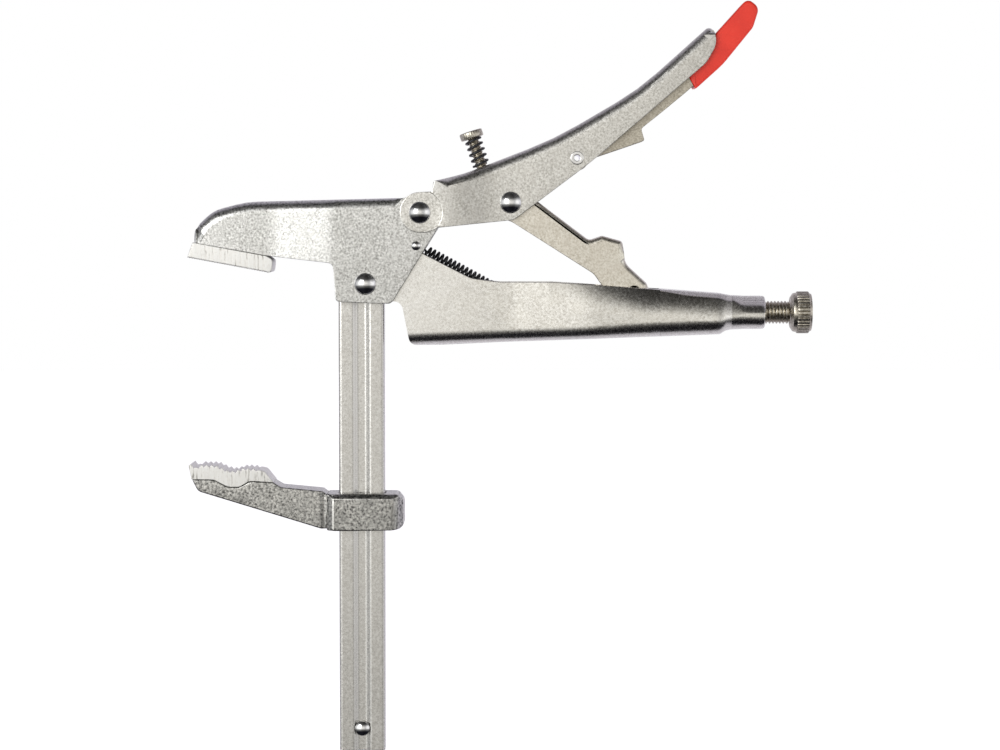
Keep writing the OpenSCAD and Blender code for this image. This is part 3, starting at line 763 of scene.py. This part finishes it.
def build_stop_screw(finish):
    """Threaded shank under a flat, round head with a knurled rim."""
    out, head = stop_frame()
    head_r, head_h, shank_r = 5.1 * MM, 3.2 * MM, 2.5 * MM
    points = [v.co for v in frame["nodes"]["stop_screw"].data.vertices]
    tip = min((p - head).dot(out) for p in points)
    shank_l = -tip - head_h / 2 + 0.1 * MM
    shank = threaded("stop_shank", shank_r, STOP_PITCH, head + out * tip, shank_l, out, 0.5 * MM)
    ribs = 30

    def ripple(r, height, angle):
        if 0.2 * MM < height < head_h - 0.2 * MM:
            return r - 0.1 * MM * (1 - abs(math.sin(angle * ribs / 2)))
        return r

    profile = [(0.02 * MM, 0), (head_r - 0.5 * MM, 0), (head_r - 0.1 * MM, 0.25 * MM), (head_r, 0.5 * MM),
               (head_r, head_h - 0.5 * MM), (head_r - 0.1 * MM, head_h - 0.25 * MM),
               (head_r - 0.5 * MM, head_h), (head_r * 0.5, head_h), (0.02 * MM, head_h)]
    cap = lathe("stop_cap", profile, head - out * head_h / 2, out, ribs * 6, ripple)
    bm = bmesh.new()
    bm.from_mesh(shank)
    bm.from_mesh(cap)
    put("stop_screw", as_mesh(bm, "stop_screw"), finish["screw"], 35)


def build_stop_spring(finish):
    """Compression spring under the stop screw's head, built at one length; the real one lengthens as the screw
    backs out.
    """
    out, head = stop_frame()
    points = [v.co for v in frame["nodes"]["stop_spring"].data.vertices]
    along = [(p - head).dot(out) for p in points]
    low, high = min(along), max(along)
    outer = max(((p - head) - out * (p - head).dot(out)).length for p in points)
    wire = 0.5 * MM
    turns, count = 5.2, 220
    first = out.orthogonal().normalized()
    second = out.cross(first)
    path = []
    for i in range(count + 1):
        t = i / count
        lift = min(1.0, max(0.0, (t - 0.09) / 0.82))
        angle = 2 * math.pi * turns * t
        place = low + wire + (high - low - 2 * wire) * lift
        path.append(head + out * place + (outer - wire) * (first * math.cos(angle) + second * math.sin(angle)))
    obj = put("stop_spring", tube("stop_spring", path, wire, 12), finish["black"], 60, ride=False)
    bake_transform(obj)


def build_jaw_spring(finish):
    """Extension spring with a hook at each end, from its pin on the jaw to the tab in the lower handle."""
    reach = 2.7 * MM
    near = middle_of("spring_pin")
    low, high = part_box("jaw_spring")
    far = Vector((high.x - reach, 0, low.z + reach))
    axis = (far - near)
    length = axis.length
    axis.normalize()
    side = Vector((0, 1, 0)).cross(axis).normalized()
    wire, coil_r = 0.55 * MM, 2.1 * MM
    start, end = 5.2 * MM, length - 5.1 * MM
    turns = round((end - start) / (1.98 * MM))

    def at(s, a, y):
        return near + axis * s + side * a + Vector((0, y, 0))

    def hook(centre, radius, first, last):
        return [at(centre + radius * math.cos(math.radians(d)), radius * math.sin(math.radians(d)), 0)
                for d in np.linspace(first, last, 40)]

    path = hook(0, 2.6 * MM, -318, 0)
    path += [at(s, 0, 0) for s in np.linspace(3.0 * MM, start - 0.5 * MM, 8)]
    path += [at(start, coil_r * t, 0) for t in np.linspace(0.3, 0.9, 4)]
    for t in np.linspace(0, 1, turns * 20 + 1):
        angle = 2 * math.pi * turns * t
        path.append(at(start + (end - start) * t, coil_r * math.cos(angle), coil_r * math.sin(angle)))
    path += [at(end, coil_r * t, 0) for t in np.linspace(0.9, 0.3, 4)]
    path += [at(s, 0, 0) for s in np.linspace(end + 0.5 * MM, length - 2.5 * MM, 6)]
    path += hook(length, 2.2 * MM, 180, 500)
    obj = put("jaw_spring", tube("jaw_spring", eased(path, 2), wire, 10), finish["black"], 60, ride=False)
    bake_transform(obj)


# ---- studio -----------------------------------------------------------------

def build_floor():
    """Plain pale floor just below the end of the rail."""
    low = cad_box[0].z - 0.4 * MM
    bm = bmesh.new()
    half = 3.0
    corners = ((-half, -half), (half, -half), (half, half), (-half, half))
    bm.faces.new([bm.verts.new((x, y, low)) for x, y in corners])
    mesh = as_mesh(bm, "floor")
    p = Paint("floor")
    shade = p.noise(0.4, 2.0, 0.5)
    colour = p.ramp(shade, [(0.3, (0.90, 0.90, 0.90)), (0.7, (0.93, 0.93, 0.93))])
    p.finish(colour, p.range(shade, 0.3, 0.7, 0.8, 0.9), metallic=0.0)
    p.shader.inputs["Emission Color"].default_value = (1, 1, 1, 1)
    p.shader.inputs["Emission Strength"].default_value = 0.75
    obj = bpy.data.objects.new("floor", mesh)
    mesh.materials.append(p.material)
    bpy.context.scene.collection.objects.link(obj)
    obj.visible_glossy = False


def build_world():
    """Soft studio: white seen directly, and light and dark around the object for the metal to mirror."""
    world = bpy.data.worlds.new("studio")
    bpy.context.scene.world = world
    world.use_nodes = True
    tree = world.node_tree
    nodes, links = tree.nodes, tree.links
    place = nodes.new("ShaderNodeTexCoord").outputs["Generated"]
    axes = nodes.new("ShaderNodeSeparateXYZ")
    links.new(place, axes.inputs[0])

    def op(kind, a, b=None):
        node = nodes.new("ShaderNodeMath")
        node.operation = kind
        for value, index in ((a, 0), (b, 1)):
            if value is None:
                continue
            if hasattr(value, "links"):
                links.new(value, node.inputs[index])
            else:
                node.inputs[index].default_value = value
        return node.outputs[0]

    def ramp(value, stops):
        node = nodes.new("ShaderNodeValToRGB")
        elements = node.color_ramp.elements
        while len(elements) < len(stops):
            elements.new(0.5)
        for element, (at, colour) in zip(elements, stops):
            element.position = at
            element.color = (*colour, 1)
        links.new(value, node.inputs["Fac"])
        return node.outputs["Color"]

    # turn about the vertical, 0.5 straight in front of the object, 0.25 at its left and 0.75 at its right
    heading = op("ARCTAN2", axes.outputs["X"], op("MULTIPLY", axes.outputs["Y"], -1.0))
    turn = op("ADD", op("DIVIDE", heading, 2 * math.pi), 0.5)
    rise = op("ADD", op("DIVIDE", op("ARCSINE", axes.outputs["Z"]), math.pi), 0.5)
    around = ramp(turn, [(0.0, (0.8, 0.79, 0.82)), (0.12, (0.55, 0.54, 0.57)), (0.25, (0.34, 0.34, 0.35)),
                         (0.36, (1.0, 1.0, 0.98)), (0.44, (1.1, 1.09, 1.06)), (0.484, (0.74, 0.72, 0.68)),
                         (0.53, (0.64, 0.625, 0.59)), (0.59, (0.5, 0.49, 0.48)), (0.66, (0.95, 0.94, 0.93)),
                         (0.76, (0.6, 0.59, 0.62)), (0.88, (0.7, 0.69, 0.72)), (1.0, (0.8, 0.79, 0.82))])
    front = ramp(rise, [(0.0, (0.01, 0.01, 0.012)), (0.30, (0.008, 0.008, 0.012)), (0.41, (0.2, 0.2, 0.2)),
                        (0.46, (0.9, 0.9, 0.9)), (0.56, (1.0, 1.0, 1.0)), (0.62, (0.5, 0.5, 0.5)),
                        (0.70, (0.07, 0.07, 0.07)), (0.86, (0.035, 0.034, 0.034)), (1.0, (0.05, 0.05, 0.05))])
    behind = ramp(rise, [(0.0, (0.5, 0.49, 0.52)), (0.3, (0.75, 0.74, 0.78)), (0.5, (0.8, 0.79, 0.83)),
                         (0.8, (0.5, 0.48, 0.53)), (1.0, (0.34, 0.33, 0.36))])
    side = ramp(op("ADD", op("MULTIPLY", axes.outputs["Y"], 0.5), 0.5),
                [(0.50, (0.0, 0.0, 0.0)), (0.56, (1.0, 1.0, 1.0))])
    rise_part = nodes.new("ShaderNodeMix")
    rise_part.data_type = "RGBA"
    links.new(side, rise_part.inputs[0])
    links.new(front, rise_part.inputs[6])
    links.new(behind, rise_part.inputs[7])
    height = rise_part.outputs[2]
    mixed = nodes.new("ShaderNodeMix")
    mixed.data_type = "RGBA"
    mixed.blend_type = "MULTIPLY"
    mixed.inputs["Factor"].default_value = 1.0
    links.new(around, mixed.inputs[6])
    links.new(height, mixed.inputs[7])
    studio = nodes.new("ShaderNodeBackground")
    studio.inputs["Strength"].default_value = 1.35
    links.new(mixed.outputs[2], studio.inputs["Color"])
    white = nodes.new("ShaderNodeBackground")
    white.inputs["Color"].default_value = (1, 1, 1, 1)
    white.inputs["Strength"].default_value = 1.0
    seen = nodes.new("ShaderNodeLightPath")
    choose = nodes.new("ShaderNodeMixShader")
    links.new(seen.outputs["Is Camera Ray"], choose.inputs["Fac"])
    links.new(studio.outputs[0], choose.inputs[1])
    links.new(white.outputs[0], choose.inputs[2])
    links.new(choose.outputs[0], nodes["World Output"].inputs["Surface"])


def soft_light(name, place, target, size, power):
    data = bpy.data.lights.new(name, "AREA")
    data.shape = "RECTANGLE"
    data.size, data.size_y = size
    data.energy = power
    obj = bpy.data.objects.new(name, data)
    bpy.context.scene.collection.objects.link(obj)
    obj.location = place
    obj.rotation_mode = "QUATERNION"
    obj.rotation_quaternion = (Vector(target) - Vector(place)).to_track_quat("-Z", "Y")
    return obj


def build_camera():
    """Long lens, a little above the handles and tipped down by the angle that the collar's top shows."""
    data = bpy.data.cameras.new("camera")
    data.sensor_width = 36.0
    data.lens = 97.54
    data.clip_start, data.clip_end = 0.05, 20.0
    obj = bpy.data.objects.new("camera", data)
    bpy.context.scene.collection.objects.link(obj)
    tilt = math.radians(3.27)
    low, high = cad_box
    distance = 1190 * MM
    obj.location = (low.x + 136.3 * MM, -distance, 233.8 * MM)
    obj.rotation_euler = (math.pi / 2 - tilt, 0, 0)
    bpy.context.scene.camera = obj


def main():
    build_camera()
    build_world()
    build_floor()
    target = (cad_box[0] + cad_box[1]) / 2
    soft_light("key", (-0.7, -1.1, 0.55), target, (0.7, 0.7), 6.0)
    finish = {"sheet": plated_sheet(), "handle": handle_sheet_painted_lighter(), "jaw": jaw_sheet_painted_darker(), "link": link_plating(),
              "lever": lever_plating(), "arm": forged_arm(), "rail": rail_steel(), "pad": ground_pad(),
              "rivet": rivet_steel(), "screw": screw_steel(), "black": black_spring(), "vinyl": red_vinyl()}
    build_sheet_metal(finish)
    build_grip(finish)
    build_arm(finish)
    build_rail(finish)
    build_rivets(finish)
    build_adjusting_screw(finish)
    build_knob(finish)
    build_stop_screw(finish)
    build_stop_spring(finish)
    build_jaw_spring(finish)
    bpy.context.scene.view_settings.view_transform = "Standard"
    bpy.context.scene.view_settings.look = "None"


main()
